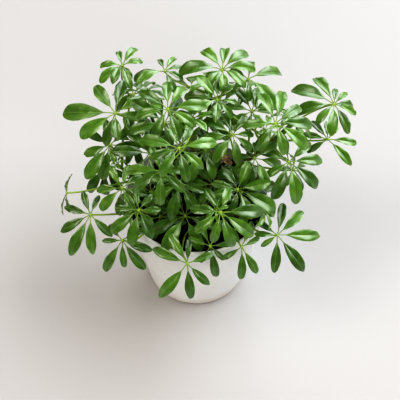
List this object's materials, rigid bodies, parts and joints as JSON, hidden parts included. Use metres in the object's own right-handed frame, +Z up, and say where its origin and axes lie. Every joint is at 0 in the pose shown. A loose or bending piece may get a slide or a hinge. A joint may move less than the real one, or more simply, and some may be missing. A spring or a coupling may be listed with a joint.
{
  "type": "potted umbrella plant",
  "caption": "Bushy dwarf umbrella plant with hand-shaped leaves on thin stalks, growing in a plain white round pot.",
  "frame": {"origin": "on the floor under the middle of the pot's flat base", "axes": "+Z up; +X to the right as the plant is usually seen; +Y away from that side"},
  "size_m": [0.3856, 0.2943, 0.3319],
  "materials": {
    "pot": "satin",
    "soil": "rough",
    "stem": "matt",
    "leaf": "satin"
  },
  "bodies": {
    "root": {"pot": "pot", "soil": "soil", "stem_back": "stem", "stem_back_left": "stem", "stem_far_right": "stem", "stem_front": "stem", "stem_front_left": "stem", "stem_front_right": "stem", "stem_left": "stem", "stem_middle": "stem", "stem_right": "stem", "leaf_back_left_far": "leaf", "leaf_back_left_top": "leaf", "leaf_back_right_top": "leaf", "leaf_back_top": "leaf", "leaf_behind_left": "leaf", "leaf_behind_low_left": "leaf", "leaf_behind_low_right": "leaf", "leaf_behind_middle": "leaf", "leaf_behind_right": "leaf", "leaf_centre": "leaf", "leaf_deep_back": "leaf", "leaf_deep_back_left": "leaf", "leaf_deep_front": "leaf", "leaf_deep_left": "leaf", "leaf_deep_middle": "leaf", "leaf_deep_outer_left": "leaf", "leaf_deep_right": "leaf", "leaf_front_low": "leaf", "leaf_front_middle": "leaf", "leaf_front_right": "leaf", "leaf_front_rim": "leaf", "leaf_inner_front": "leaf", "leaf_inner_left": "leaf", "leaf_left_centre": "leaf", "leaf_left_dark": "leaf", "leaf_left_droop": "leaf", "leaf_left_edge": "leaf", "leaf_left_inner": "leaf", "leaf_left_low": "leaf", "leaf_left_middle": "leaf", "leaf_left_out": "leaf", "leaf_left_shadow": "leaf", "leaf_middle_back": "leaf", "leaf_middle_front": "leaf", "leaf_middle_low": "leaf", "leaf_middle_right": "leaf", "leaf_middle_shadow": "leaf", "leaf_right_bright": "leaf", "leaf_right_far": "leaf", "leaf_right_far_top": "leaf", "leaf_right_low": "leaf", "leaf_right_middle": "leaf", "leaf_right_top": "leaf", "leaf_shoulder_left": "leaf", "leaf_shoulder_right": "leaf", "leaf_side_left": "leaf", "leaf_side_right": "leaf", "leaf_side_right_back": "leaf", "leaf_top_left": "leaf"}
  },
  "joints": []
}
